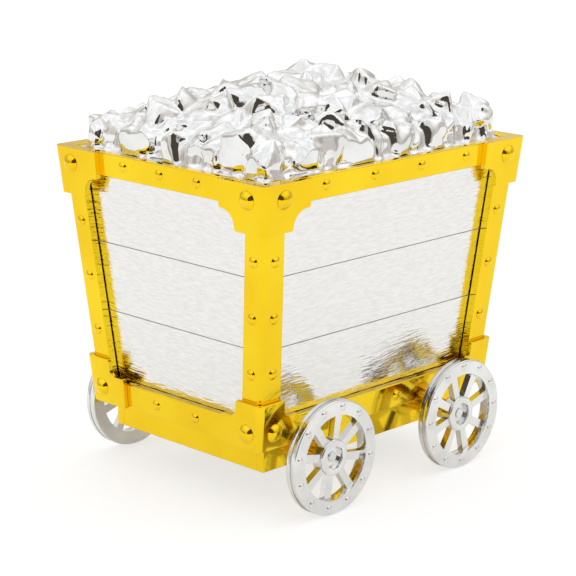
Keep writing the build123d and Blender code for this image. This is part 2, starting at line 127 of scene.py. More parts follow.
def new_material(name):
    """An empty node material, its shader and its node tree."""
    material = bpy.data.materials.new(name)
    material.use_nodes = True
    tree = material.node_tree
    return material, tree.nodes["Principled BSDF"], tree


def add_node(tree, kind, settings=None, **wires):
    """Adds a node and returns its outputs.

    Each wire is an output to link, or a value to set, by the input's name or by i and its number.
    """
    made = tree.nodes.new(kind)
    for key, value in (settings or {}).items():
        setattr(made, key, value)
    for key, value in wires.items():
        spot = made.inputs[int(key[1:])] if key[0] == "i" and key[1:].isdigit() else made.inputs[key]
        if isinstance(value, bpy.types.NodeSocket):
            tree.links.new(value, spot)
        else:
            spot.default_value = value
    return made.outputs


print("colours are shown as", scene.view_settings.view_transform)


# %% White tent
def add_world(wall=0.60, ceiling=1.06, folds=0.22, warmth=(1.0, 0.94, 0.86)):
    """The tent. Looking straight at it shows plain white, and only reflections show its shades."""
    world = bpy.data.worlds.new("white_tent")
    scene.world = world
    world.use_nodes = True
    tree = world.node_tree
    way = add_node(tree, "ShaderNodeTexCoord")["Generated"]
    height = add_node(tree, "ShaderNodeSeparateXYZ", Vector=way)["Z"]
    limits = {"From Min": 0.10, "From Max": 0.72}
    soft = {"interpolation_type": "SMOOTHSTEP"}
    rise = add_node(tree, "ShaderNodeMapRange", soft, Value=height, **limits)["Result"]
    graded = {"operation": "MULTIPLY_ADD"}
    brightness = add_node(tree, "ShaderNodeMath", graded, i0=rise, i1=ceiling - wall, i2=wall)[0]
    drawn = add_node(tree, "ShaderNodeMapping", Vector=way, Scale=(1.0, 1.0, 0.25))["Vector"]
    cloth = add_node(tree, "ShaderNodeTexNoise", Vector=drawn, Scale=2.6, Detail=2.0)["Fac"]
    limits = {"From Min": 0.3, "From Max": 0.7, "To Min": -folds, "To Max": folds}
    fold = add_node(tree, "ShaderNodeMapRange", Value=cloth, **limits)["Result"]
    tent = add_node(tree, "ShaderNodeMath", {"operation": "ADD"}, i0=brightness, i1=fold)[0]
    seen = add_node(tree, "ShaderNodeLightPath")["Is Camera Ray"]
    pure = add_node(tree, "ShaderNodeMath", {"operation": "MAXIMUM"}, i0=rise, i1=seen)[0]
    colours = {"i6": (*warmth, 1), "i7": (1, 1, 1, 1)}
    tint = add_node(tree, "ShaderNodeMix", {"data_type": "RGBA"}, i0=pure, **colours)[2]
    plain = add_node(tree, "ShaderNodeMix", {"data_type": "FLOAT"}, i0=seen, i2=tent, i3=1.0)[0]
    background = tree.nodes["Background"]
    tree.links.new(tint, background.inputs["Color"])
    tree.links.new(plain, background.inputs["Strength"])
    return world


print("world:", add_world().name)

# %% [markdown]
# ## Floor
# A pale floor that glows a little, so that only a faint shadow is left on it. A gold mirror would show
# such a floor as flat paint. So mirrors see a second sheet a hair above it, with a deeper shadow. Each
# sheet is hidden from the rays that are meant for the other.


# %% Floor
def stage_piece(name, mesh, colour, glow):
    """A matt thing of the studio, which is not part of the cart."""
    material, shader, tree = new_material(name)
    values = {
        "Base Color": (*colour, 1),
        "Roughness": 1.0,
        "Specular IOR Level": 0.0,
        "Emission Color": (1, 1, 1, 1),
        "Emission Strength": glow,
    }
    for key, value in values.items():
        shader.inputs[key].default_value = value
    mesh.materials.append(material)
    thing = bpy.data.objects.new(name, mesh)
    scene.collection.objects.link(thing)
    return thing


def flat_shape(name, points):
    """A mesh of one face with these corners."""
    mesh = bpy.data.meshes.new(name)
    mesh.from_pydata([tuple(p) for p in points], [], [list(range(len(points)))])
    return mesh


def add_floor(half=3.0, film=0.1 * MM):
    """Pale floor, and a film on it that only mirrors see: its shadow is deeper than the floor's."""

    def sheet(name, height, colour, glow):
        corners = [(x * half, y * half, height) for x, y in ((-1, -1), (1, -1), (1, 1), (-1, 1))]
        return stage_piece(name, flat_shape(name, corners), colour, glow)

    floor = sheet("studio_floor", 0.0, (0.42, 0.42, 0.42), 0.66)
    floor.visible_glossy = False
    mirrored = sheet("mirrored_floor", film, (0.80, 0.80, 0.79), 0.22)
    mirrored.visible_camera = False
    mirrored.visible_diffuse = False
    mirrored.visible_shadow = False
    return floor, mirrored


print("floor:", [sheet.name for sheet in add_floor()])

# %% [markdown]
# ## Dark card
# The only dark thing near a white tent is the camera, with whoever stands behind it. That is what puts
# the small dark spots on rivet heads and on the faces of the ore. A round dark card stands in for it.
# It is hidden from direct view, and shows only in reflections.

# %% Dark card
CARD_DISTANCE = 2.0
CARD_HALF_ANGLE = math.radians(27)
CARD_CORNERS = 48
CARD_COLOUR = (0.075, 0.065, 0.05)


def add_dark_card():
    """A round card that faces the cart from the camera's side."""
    towards = direction(CAMERA_TURN, CAMERA_RISE)
    aim = towards.to_track_quat("Z", "Y").to_matrix()
    radius = CARD_DISTANCE * math.tan(CARD_HALF_ANGLE)
    centre = CAMERA_TARGET + towards * CARD_DISTANCE
    turns = [2 * math.pi * i / CARD_CORNERS for i in range(CARD_CORNERS)]
    ring = [centre + aim @ Vector((radius * math.cos(t), radius * math.sin(t), 0)) for t in turns]
    card = stage_piece("dark_card", flat_shape("dark_card", ring), CARD_COLOUR, 0.0)
    card.visible_camera = False
    card.visible_shadow = False
    card.visible_diffuse = False
    return card


print("card:", add_dark_card().name)

# %% [markdown]
# ## Finishes
# Real plating is never one flat colour. Under the mirror lies a cast surface with a faint ripple, and
# handling leaves clouds of slightly duller metal. Both are made from noise on Object coordinates, so
# they stay where they are when a piece moves. The clouds drive the colour and the roughness, and the
# ripple drives a weak bump.

# %% Pattern helpers
def noise(tree, scale, detail, stretch=(1, 1, 1)):
    """Noise on Object coordinates. scale is in cycles per metre."""
    place = add_node(tree, "ShaderNodeTexCoord")["Object"]
    drawn = add_node(tree, "ShaderNodeMapping", Vector=place, Scale=stretch)["Vector"]
    return add_node(tree, "ShaderNodeTexNoise", Vector=drawn, Scale=scale, Detail=detail)["Fac"]


def ramp(tree, factor, low, high, start=0.35, end=0.65):
    """Maps noise to the range between two numbers."""
    limits = {"From Min": start, "From Max": end, "To Min": low, "To Max": high}
    return add_node(tree, "ShaderNodeMapRange", Value=factor, **limits)["Result"]


def blended(tree, factor, first, second):
    """A colour that goes from the first to the second with the factor."""
    colours = {"i6": (*first, 1), "i7": (*second, 1)}
    return add_node(tree, "ShaderNodeMix", {"data_type": "RGBA"}, i0=factor, **colours)[2]


# %% Plating
def plated(name, bright, dull, smooth, rough, cloud, ripple, ripple_depth, stretch=(1, 1, 1)):
    """Metal plating: clouds of dull metal, and a cast ripple with its depth in metres."""
    material, shader, tree = new_material(name)
    shader.inputs["Metallic"].default_value = 1.0
    clouds = noise(tree, cloud, 3.0, stretch)
    weight = ramp(tree, clouds, 0.0, 1.0)
    tree.links.new(blended(tree, weight, bright, dull), shader.inputs["Base Color"])
    tree.links.new(ramp(tree, clouds, smooth, rough), shader.inputs["Roughness"])
    height = noise(tree, ripple, 2.0, stretch)
    bump = add_node(tree, "ShaderNodeBump", Strength=1.0, Distance=ripple_depth, Height=height)
    tree.links.new(bump["Normal"], shader.inputs["Normal"])
    return material


GOLD, DULL_GOLD = (0.98, 0.70, 0.022), (0.92, 0.61, 0.016)
SILVER, DULL_SILVER = (0.885, 0.89, 0.89), (0.77, 0.775, 0.775)
WHEEL_SILVER, DULL_WHEEL = (0.85, 0.855, 0.85), (0.75, 0.755, 0.75)
STEEL, DULL_STEEL = (0.78, 0.78, 0.78), (0.66, 0.66, 0.66)
BRASS, DULL_BRASS = (0.90, 0.62, 0.12), (0.78, 0.50, 0.08)
# after the colours: roughness from and to, clouds and ripples per metre, depth of a ripple in metres
gold = plated("gold_plating", GOLD, DULL_GOLD, 0.05, 0.10, 28, 220, 0.00001)
silver_cast = plated("silver_casting", SILVER, DULL_SILVER, 0.05, 0.11, 90, 260, 0.00003)
silver_wheel = plated("silver_wheel", WHEEL_SILVER, DULL_WHEEL, 0.10, 0.22, 80, 900, 0.00003)
steel = plated("axle_steel", STEEL, DULL_STEEL, 0.22, 0.36, 120, 1500, 0.00001)
brass = plated("bush_brass", BRASS, DULL_BRASS, 0.14, 0.28, 100, 900, 0.00001)
print("metals:", [metal.name for metal in (gold, silver_cast, silver_wheel, steel, brass)])

# %% [markdown]
# ## Which piece has which finish
# Each design node names its finish in a slot. A node that keeps its design shape, such as an axle or a
# bush, gets the finish in place. A node whose shape is made again here hands its slot, its body and its
# place in the design on to the new piece.

# %% Finish by slot
finishes = {
    "gold_frame": gold,
    "silver_ore": silver_cast,
    "silver_wheel": silver_wheel,
    "axle_steel": steel,
    "bush_brass": brass,
}
slots, bodies = {}, {}
for name, node in nodes.items():
    slots[name] = node.data.materials[0].name.split(".")[0]
    if slots[name] in finishes:
        node.data.materials[0] = finishes[slots[name]]
for body, members in frame["record"]["behaviour"]["bodies"].items():
    for name in members:
        bodies[name] = body


def stand_in(piece, *names):
    """Puts a finished piece in the place of design nodes of one body."""
    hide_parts(*names)
    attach(piece, bodies[names[0]])


print("finishes:", sorted(set(slots.values())))

# %% [markdown]
# ## Where the rivets are
# The design says where each rivet sits: its own solid gives the place and the axis. These places are
# needed twice: to put the turned heads there, and to close the holes under them, which nobody sees and
# which would spoil the rounding of the bars' edges.

# %% Separate solids
MERGE = 0.002 * MM


def islands(name):
    """The separate solids of a design node, as lists of points."""
    shape = bmesh.new()
    shape.from_mesh(nodes[name].data)
    bmesh.ops.remove_doubles(shape, verts=shape.verts, dist=MERGE)
    unseen, found = set(shape.verts), []
    while unseen:
        queue, group = [unseen.pop()], []
        while queue:
            vertex = queue.pop()
            group.append(vertex.co.copy())
            for edge in vertex.link_edges:
                other = edge.other_vert(vertex)
                if other in unseen:
                    unseen.remove(other)
                    queue.append(other)
        found.append(group)
    shape.free()
    return found


print("solids in post_rivets:", len(islands("post_rivets")))

# %% Rivet places
END_LEAN, SIDE_LEAN = 0.075, 0.104
TILTS = {
    "ends": Vector((1, 0, -END_LEAN)).normalized(),
    "sides": Vector((0, 1, -SIDE_LEAN)).normalized(),
    "wheels": Vector((0, 1, 0)),
    "under": Vector((0, 0, -1)),
}


def rivet_place(points, ways):
    """Top of a rivet's head and the way it faces: the axis along which it is longest."""
    middle = sum(points, Vector()) / len(points)
    best = None
    for way in ways:
        axis = TILTS[way].copy()
        if way == "ends" and middle.x < 0:
            axis.x = -axis.x
        if way in ("sides", "wheels") and middle.y < 0:
            axis.y = -axis.y
        heights = [point.dot(axis) for point in points]
        length = max(heights) - min(heights)
        if best is None or length > best[0]:
            ring = [point for point in points if point.dot(axis) < min(heights) + 0.001 * MM]
            foot = sum(ring, Vector()) / len(ring)
            best = (length, foot + axis * length, axis)
    return best[1], best[2]


# %% Fasteners
FASTENERS = {
    "post_rivets": ("ends", "sides"),
    "upper_rail_rivets": ("ends", "sides"),
    "lower_rail_rivets": ("ends", "sides"),
    "upper_bracket_bolts": ("ends", "sides"),
    "lower_bracket_bolts": ("ends", "sides"),
    "chassis_screws": ("under",),
    "wheel_rivets_front": ("wheels",),
    "wheel_rivets_rear": ("wheels",),
}
tops = {
    name: [rivet_place(points, ways) for points in islands(name)] for name, ways in FASTENERS.items()
}
print("fasteners:", sum(len(row) for row in tops.values()))

# %% [markdown]
# ## Covered holes
# A bar has a hole under each rivet, and a sill has one round each bush. Nobody sees them, but each one
# cuts a flat face up, and a bevel beside it would pucker. So they are closed in the copies. A hole is
# known by its place: its wall lies within a small cylinder round the rivet's or the axle's own line.

# %% Covered holes
RIVET_HOLE, RIVET_REACH = 1.45 * MM, 12 * MM
AXLE_HOLE, AXLE_REACH = 4.3 * MM, 60 * MM
covered = [(top, axis, RIVET_HOLE, RIVET_REACH) for row in tops.values() for top, axis in row]
for joint in frame["record"]["behaviour"]["joints"]:
    if joint["type"] == "hinge":
        covered.append((Vector(joint["pos_m"]), Vector((0, 1, 0)), AXLE_HOLE, AXLE_REACH))


def in_hole(point):
    """Number of the covered hole that a point lies in, or -1."""
    for number, (place, axis, radius, reach) in enumerate(covered):
        offset = point - place
        along = offset.dot(axis)
        if abs(along) < reach and (offset - axis * along).length < radius:
            return number
    return -1


def fill_holes(shape):
    """Closes the holes that a rivet's head or a bush hides."""
    number = {vertex: in_hole(vertex.co) for vertex in shape.verts}
    walls = [
        face
        for face in shape.faces
        if number[face.verts[0]] >= 0 and len({number[vertex] for vertex in face.verts}) == 1
    ]
    bmesh.ops.delete(shape, geom=walls, context="FACES")
    bmesh.ops.holes_fill(shape, edges=[edge for edge in shape.edges if edge.is_boundary], sides=0)


print("covered holes:", len(covered))

# %% [markdown]
# ## Worn edges
# A cast and polished bar has no sharp edge. The design's bars are copied, their loose triangles are
# joined and merged into flat faces, and a Bevel modifier rounds every sharp edge that is left. Bevel is
# the right tool because it follows any outline, and the faces keep their places, so each bar still fits.

# %% Merged copies
def merged_copy(name, flat=math.radians(0.6), plugged=True):
    """A design node's mesh as clean flat faces."""
    mesh = bpy.data.meshes.new(f"{name}_merged")
    shape = bmesh.new()
    shape.from_mesh(nodes[name].data)
    bmesh.ops.remove_doubles(shape, verts=shape.verts, dist=MERGE)
    if plugged:
        fill_holes(shape)
    bmesh.ops.dissolve_limit(shape, angle_limit=flat, verts=shape.verts, edges=shape.edges)
    shape.to_mesh(mesh)
    shape.free()
    return mesh


def linked(name, mesh):
    """A new object with this mesh, in the scene."""
    thing = bpy.data.objects.new(name, mesh)
    scene.collection.objects.link(thing)
    return thing


def evaluated(source, name):
    """The result of an object's modifiers as a plain object. The source is removed."""
    mesh = bpy.data.meshes.new_from_object(source.evaluated_get(bpy.context.evaluated_depsgraph_get()))
    mesh.name = name
    bpy.data.objects.remove(source)
    return linked(name, mesh)


# %% Worn edges
WORN_EDGE = 0.35 * MM
SHARP_ANGLE = math.radians(35)


def worn(name, width=WORN_EDGE, segments=3, plugged=True):
    """Puts a copy with rounded edges in the place of a design node."""
    draft = linked(f"{name}_draft", merged_copy(name, plugged=plugged))
    bevel = draft.modifiers.new("worn_edge", "BEVEL")
    bevel.width = width
    bevel.segments = segments
    bevel.limit_method = "ANGLE"
    bevel.angle_limit = SHARP_ANGLE
    bevel.harden_normals = True
    piece = evaluated(draft, f"{name}_worn")
    piece.data.materials.clear()
    piece.data.materials.append(finishes[slots[name]])
    stand_in(piece, name)


bars = [f"corner_post_{corner}" for corner in CORNERS]
bars += [f"{level}_rail_{face}" for level in ("upper", "lower") for face in (*ENDS, *SIDES)]
bars += [f"{level}_bracket_{corner}" for level in ("upper", "lower") for corner in CORNERS]
bars += [f"chassis_sill_{side}" for side in SIDES]
bars += [f"{kind}_{end}" for kind in ("chassis_end_beam", "cross_bearer") for end in ENDS]
for name in bars:
    worn(name)
print(len(bars), "bars with worn edges")

# %% [markdown]
# ## Worn wheels
# The wheels are cast like the bars, but thinner, so their edges are rounded less. A wheel could be spun
# and its spokes copied, but the design's own wheel already has every spoke, so it is copied and rounded
# like the bars. Its holes stay open: the axle passes through the middle one.

# %% Worn wheels
WORN_WHEEL = 0.25 * MM
wheels = [name for name in nodes if name.startswith("wheel_") and "rivets" not in name]
for name in wheels:
    worn(name, WORN_WHEEL, 2, plugged=False)
print("wheels:", wheels)

# %% [markdown]
# ## Geometry Nodes trees
# Grain, rivets and ore all repeat by a rule, so each is a small Geometry Nodes tree that the script
# builds. A tree has named inputs for its sizes, and ends by making its instances real and giving them
# their finish. The helpers below make the tree and fill in the inputs of the modifier that uses it.

# %% Tree helpers
SOCKETS = {
    "number": "NodeSocketFloat",
    "count": "NodeSocketInt",
    "object": "NodeSocketObject",
    "geometry": "NodeSocketGeometry",
    "finish": "NodeSocketMaterial",
    "lumps": "NodeSocketCollection",
}


class Tree:
    """A Geometry Nodes tree that is being built."""

    def __init__(self, name, **inputs):
        self.group = bpy.data.node_groups.new(name, "GeometryNodeTree")
        self.group.interface.new_socket("geometry", in_out="INPUT", socket_type=SOCKETS["geometry"])
        self.sockets = {}
        for key, kind in {**inputs, "finish": "finish"}.items():
            socket = self.group.interface.new_socket(key, in_out="INPUT", socket_type=SOCKETS[kind])
            self.sockets[key] = socket.identifier
        self.group.interface.new_socket("geometry", in_out="OUTPUT", socket_type=SOCKETS["geometry"])
        self.start = self.group.nodes.new("NodeGroupInput").outputs

    def node(self, kind, settings=None, **wires):
        """Adds a node to this tree and returns its outputs."""
        return add_node(self.group, kind, settings, **wires)

    def maths(self, kind, a, b):
        """The result of a sum of two numbers: kind says which sum."""
        return self.node("ShaderNodeMath", {"operation": kind}, i0=a, i1=b)[0]

    def number_between(self, kind, low, high, **wires):
        """A random value for each point: kind is FLOAT_VECTOR, FLOAT or INT."""
        first, result = {"FLOAT_VECTOR": (0, 0), "FLOAT": (2, 1), "INT": (4, 2)}[kind]
        limits = {f"i{first}": low, f"i{first + 1}": high}
        return self.node("FunctionNodeRandomValue", {"data_type": kind}, **limits, **wires)[result]

    def finish(self, geometry):
        """Ends the tree: instances become real, and take the finish."""
        real = self.node("GeometryNodeRealizeInstances", Geometry=geometry)[0]
        coated = self.node("GeometryNodeSetMaterial", Geometry=real, Material=self.start["finish"])[0]
        out = self.group.nodes.new("NodeGroupOutput")
        self.group.links.new(coated, out.inputs[0])

    def apply(self, thing, **values):
        """Puts the tree on an object, with its inputs set by their identifiers."""
        modifier = thing.modifiers.new(self.group.name, "NODES")
        modifier.node_group = self.group
        for key, value in values.items():
            modifier[self.sockets[key]] = value


print("a tree can have inputs of these kinds:", list(SOCKETS))

# %% [markdown]
# ## Plank walls
# Each wall is three planks, cast with the grain of weathered wood and then silvered. The grain is real
# relief: the outer face of a plank is a fine grid, and the tree pushes its points in and out by noise
# that is long along the plank and short across it. A second, slower noise bends the lines, as wood
# grain bends. The plank stands a hair behind the frame, which leaves the thin dark line that borders it.

# %% Plank grid
PLANK_RECESS = 0.35 * MM
PLANK_ROUND = 0.2 * MM
SEAM_FILL = 0.08 * MM
PLANK_SHARP = math.radians(50)
ROW_HEIGHT, COLUMN_WIDTH = 0.2 * MM, 1.1 * MM
EDGE_STEPS = (0.12, 0.45)


def places(span, pitch, edge):
    """Evenly spread places over a span, with extra ones close to its two ends."""
    count = max(2, round((span - 2 * edge) / pitch))
    inner = [edge + (span - 2 * edge) * i / count for i in range(count + 1)]
    first = [edge * step for step in EDGE_STEPS]
    last = [span - edge * step for step in reversed(EDGE_STEPS)]
    return [0.0, *first, *inner, *last, span]


def rounding(distance, radius):
    """How far a rounded edge falls back at a distance from it."""
    if distance >= radius:
        return 0.0
    return radius - math.sqrt(max(0.0, radius**2 - (radius - distance) ** 2))


print("rows on a 30 mm plank:", len(places(30 * MM, ROW_HEIGHT, PLANK_ROUND)))


# %% Plank sizes
def plank_sizes(name, face):
    """A plank's bottom, top and thickness, and where its face and its ends are at a height."""
    low, high = (Vector(corner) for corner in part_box(name))
    low.z -= SEAM_FILL
    high.z += SEAM_FILL
    thick, long = (0, 1) if face in ENDS else (1, 0)
    lean, end_lean = (END_LEAN, SIDE_LEAN) if face in ENDS else (SIDE_LEAN, END_LEAN)
    reach = max(abs(low[thick]), abs(high[thick]))
    depth = abs(high[thick] - low[thick]) - lean * (high[2] - low[2])

    def out_at(z):
        return reach - lean * (high[2] - z) - PLANK_RECESS

    def half_at(z):
        return high[long] - end_lean * (high[2] - z)

    return low[2], high[2], depth, out_at, half_at


def plank_faces(width, height):
    """A grid of width by height points, then the four corners of the back: faces that close them."""
    faces = [
        [a, a + 1, a + width + 1, a + width]
        for row in range(height - 1)
        for a in range(row * width, row * width + width - 1)
    ]
    back, last = width * height, width * (height - 1)
    faces.append([back, back + 1, back + 2, back + 3])
    faces.append([*range(width), back + 1, back])
    faces.append([*range(last, last + width), back + 2, back + 3])
    faces.append([*range(0, last + 1, width), back + 3, back])
    faces.append([*range(width - 1, last + width, width), back + 2, back + 1])
    return faces


print("plank_low_front is", round(plank_sizes("plank_low_front", "front")[2] / MM, 2), "mm thick")


# %% Plank shapes
def plank_mesh(name, face):
    """Closed plank with a fine grid on its outer face. Attribute grain: along, up, weight."""
    bottom, top, depth, out_at, half_at = plank_sizes(name, face)
    thick, long = (0, 1) if face in ENDS else (1, 0)
    sign = 1 if face in ("front", "left") else -1
    full = 2 * half_at(top)
    rows = places(top - bottom, ROW_HEIGHT, PLANK_ROUND)
    columns = places(full, COLUMN_WIDTH, PLANK_ROUND)
    points, grain = [], []

    def add(z, out, along, mark):
        point = [0.0, 0.0, z]
        point[thick] = sign * out
        point[long] = along
        points.append(point)
        grain.extend(mark)

    for up in rows:
        z = bottom + up
        fall = rounding(min(up, top - bottom - up), PLANK_ROUND)
        weight = 1.0 if fall == 0.0 else 0.0
        for along in columns:
            share = along / full * 2 - 1
            add(z, out_at(z) - fall, share * half_at(z), (along / MM, z / MM, weight))
    for z, end in ((bottom, -1), (bottom, 1), (top, 1), (top, -1)):
        add(z, out_at(z) - depth + PLANK_RECESS, end * half_at(z), (0.0, 0.0, 0.0))
    mesh = bpy.data.meshes.new(f"{name}_grid")
    mesh.from_pydata(points, [], plank_faces(len(columns), len(rows)))
    mesh.attributes.new("grain", "FLOAT_VECTOR", "POINT").data.foreach_set("vector", grain)
    shape = bmesh.new()
    shape.from_mesh(mesh)
    bmesh.ops.recalc_face_normals(shape, faces=shape.faces)
    shape.to_mesh(mesh)
    shape.free()
    return mesh


# %% [markdown]
# ## Wood grain
# The grain could be painted on, but a mirror finish shows every dent, so it has to be real. A tree reads
# the grain attribute, bends the lines with a slow noise, and adds a broad and a fine relief along them.
# The relief only counts where the attribute's third number is 1, which keeps the edges true.

# %% Grain tree
def grain_tree():
    """Pushes a plank's outer face in and out. Pitch, depth and bend are in millimetres."""
    tree = Tree("wood_grain", pitch="number", depth="number", bend="number", seed="number")
    place = tree.node("GeometryNodeInputNamedAttribute", {"data_type": "FLOAT_VECTOR"}, Name="grain")[0]
    along, up, weight = tree.node("ShaderNodeSeparateXYZ", Vector=place)[:3]
    seed = tree.start["seed"]

    def texture(along_scale, up_value, offset, detail):
        moved = tree.maths("ADD", seed, offset)
        drawn = tree.maths("MULTIPLY", along, along_scale)
        spot = tree.node("ShaderNodeCombineXYZ", X=drawn, Y=up_value, Z=moved)
        field = tree.node("ShaderNodeTexNoise", Vector=spot[0], Scale=1.0, Detail=detail)[0]
        return tree.maths("SUBTRACT", field, 0.5)

    slow = texture(0.022, tree.maths("MULTIPLY", up, 0.07), 3.0, 1.0)
    bent = tree.maths("ADD", up, tree.maths("MULTIPLY", slow, tree.start["bend"]))
    lines = tree.maths("DIVIDE", bent, tree.start["pitch"])
    broad = texture(0.05, tree.maths("MULTIPLY", lines, 0.45), 11.0, 1.0)
    fine = texture(0.17, tree.maths("MULTIPLY", lines, 1.5), 23.0, 2.0)
    relief = tree.maths("ADD", tree.maths("MULTIPLY", broad, 0.6), tree.maths("MULTIPLY", fine, 1.2))
    relief = tree.maths("MULTIPLY", tree.maths("MULTIPLY", relief, tree.start["depth"]), weight)
    normal = tree.node("GeometryNodeInputNormal")[0]
    metres = tree.maths("MULTIPLY", relief, MM)
    push = tree.node("ShaderNodeVectorMath", {"operation": "SCALE"}, i0=normal, Scale=metres)
    moved = tree.node("GeometryNodeSetPosition", Geometry=tree.start["geometry"], Offset=push[0])
    tree.finish(moved[0])
    return tree


grain = grain_tree()
print("grain tree inputs:", list(grain.sockets))

# %% [markdown]
# ## Plank silver
# The silver on the planks is brushed, not polished: it keeps the sheen of metal but blurs what it
# mirrors into streaks. Its colour and bump follow the same direction as the relief, so the pattern is
# stretched along the plank, which lies along X on a side wall and along Y on an end wall. The inside of
# the tub is bare casting, because nobody polishes it. The grain attribute, whose third number is 1 only
# on a plank's outer face, tells the material which of the two it is on.

# %% Plank silver
BARE_CASTING, BARE_ROUGHNESS = (0.40, 0.40, 0.39), 0.55
PLANK_SILVER, DULL_PLANK = (0.885, 0.885, 0.875), (0.80, 0.80, 0.79)


def plank_finish(name, long):
    """Brushed silver on the outer face, bare casting everywhere else."""
    stretch = (0.2, 1, 1) if long == 0 else (1, 0.2, 1)
    material = plated(name, PLANK_SILVER, DULL_PLANK, 0.09, 0.17, 1250, 1500, 0.00008, stretch)
    tree = material.node_tree
    shader = tree.nodes["Principled BSDF"]
    silver, brushed = (shader.inputs[key].links[0].from_socket for key in ("Base Color", "Roughness"))
    place = add_node(tree, "ShaderNodeAttribute", {"attribute_name": "grain"})["Vector"]
    outside = add_node(tree, "ShaderNodeSeparateXYZ", Vector=place)["Z"]
    colours = {"i6": (*BARE_CASTING, 1), "i7": silver}
    colour = add_node(tree, "ShaderNodeMix", {"data_type": "RGBA"}, i0=outside, **colours)[2]
    shades = {"i2": BARE_ROUGHNESS, "i3": brushed}
    rough = add_node(tree, "ShaderNodeMix", {"data_type": "FLOAT"}, i0=outside, **shades)[0]
    for key, value in (("Base Color", colour), ("Roughness", rough), ("Metallic", outside)):
        tree.links.new(value, shader.inputs[key])
    return material


plank_silver = {0: plank_finish("silver_plank_sides", 0), 1: plank_finish("silver_plank_ends", 1)}
for name, slot in slots.items():
    if slot == "silver_plank":
        nodes[name].data.materials[0] = plank_silver[0]
print("plank finishes:", [finish.name for finish in plank_silver.values()])

# %% [markdown]
# ## The planks
# Twelve planks, three to a wall. They share one tree, and each has its own seed, so no two have the same
# grain. The tree's result is turned into a plain mesh before the piece takes its plank's place.

# %% Planks
PITCH, DEPTH, BEND = 0.8, 0.21, 12.0
seed = 0
for level in ("low", "middle", "high"):
    for face in (*ENDS, *SIDES):
        name = f"plank_{level}_{face}"
        finish = plank_silver[1 if face in ENDS else 0]
        draft = linked(f"{name}_draft", plank_mesh(name, face))
        grain.apply(draft, pitch=PITCH, depth=DEPTH, bend=BEND, seed=seed * 7.3 + 1.0, finish=finish)
        piece = evaluated(draft, f"{name}_silvered")
        piece.data.shade_smooth()
        piece.data.set_sharp_from_angle(angle=PLANK_SHARP)
        stand_in(piece, name)
        seed += 1
print("planks:", seed, "with", len(piece.data.polygons), "faces on the last one")

# %% [markdown]
# ## Rivets and bolts
# Every rivet is the same turned shape, so one head is drawn as a profile and spun once. A tree puts the
# head on every place, turns it to face outwards, and gives each one its own spin and a trace of tilt,
# as a hammer leaves it.

# %% Rivet head
SHANK = 0.8 * MM
DOME_STEPS = 9


def rivet_head(name, width, height, spin_steps=28):
    """Turned head with a thin collar and a low dome, its top at the origin and its axis along Z."""
    radius = width / 2
    core, foot = radius * 0.45, -height - SHANK
    profile = [(0.0, foot), (core, foot), (core, -height)]
    profile += [(radius, -height), (radius, -height * 0.90), (radius * 0.955, -height * 0.82)]
    crown, rise = radius * 0.93, height * 0.82
    ball = (crown**2 + rise**2) / (2 * rise)
    slope = math.asin(crown / ball)
    for i in range(1, DOME_STEPS + 1):
        angle = slope * (1 - i / DOME_STEPS)
        profile.append((ball * math.sin(angle), ball * math.cos(angle) - ball))
    shape = bmesh.new()
    spine = [shape.verts.new((r, 0, z)) for r, z in profile]
    edges = [shape.edges.new(pair) for pair in zip(spine, spine[1:])]
    bmesh.ops.spin(
        shape, geom=spine + edges, cent=(0, 0, 0), axis=(0, 0, 1), angle=2 * math.pi, steps=spin_steps
    )
    bmesh.ops.remove_doubles(shape, verts=shape.verts, dist=0.001 * MM)
    bmesh.ops.recalc_face_normals(shape, faces=shape.faces)
    mesh = bpy.data.meshes.new(name)
    shape.to_mesh(mesh)
    shape.free()
    return linked(name, mesh)


sample = rivet_head("sample_head", 4.4 * MM, 1.2 * MM)
print("faces on a rivet head:", len(sample.data.polygons))
bpy.data.objects.remove(sample)


# %% Rivet tree
def rivet_tree():
    """Puts the head on every point, facing the way that the point's attribute says."""
    tree = Tree("riveting", head="object", tilt="number", seed="count")
    facing = tree.node("GeometryNodeInputNamedAttribute", {"data_type": "FLOAT_VECTOR"}, Name="facing")[0]
    lean = tree.node("ShaderNodeMath", {"operation": "MULTIPLY"}, i0=tree.start["tilt"], i1=-1.0)[0]
    low = tree.node("ShaderNodeCombineXYZ", X=lean, Y=lean, Z=0.0)[0]
    high = tree.node("ShaderNodeCombineXYZ", X=tree.start["tilt"], Y=tree.start["tilt"], Z=2 * math.pi)[0]
    random_turn = tree.number_between("FLOAT_VECTOR", low, high, Seed=tree.start["seed"])
    aimed = tree.node("FunctionNodeAlignRotationToVector", {"axis": "Z"}, Vector=facing)[0]
    local = {"rotation_space": "LOCAL"}
    turned = tree.node("FunctionNodeRotateRotation", local, i0=aimed, i1=random_turn)[0]
    head = tree.node("GeometryNodeObjectInfo", {"transform_space": "ORIGINAL"}, Object=tree.start["head"])
    placed = tree.node(
        "GeometryNodeInstanceOnPoints",
        Points=tree.start["geometry"],
        Instance=head["Geometry"],
        Rotation=turned,
    )[0]
    tree.finish(placed)
    return tree


riveting = rivet_tree()
print("riveting tree inputs:", list(riveting.sockets))


# %% Riveting
HEAD_TILT = 0.012
HEAD_SHARP = math.radians(40)


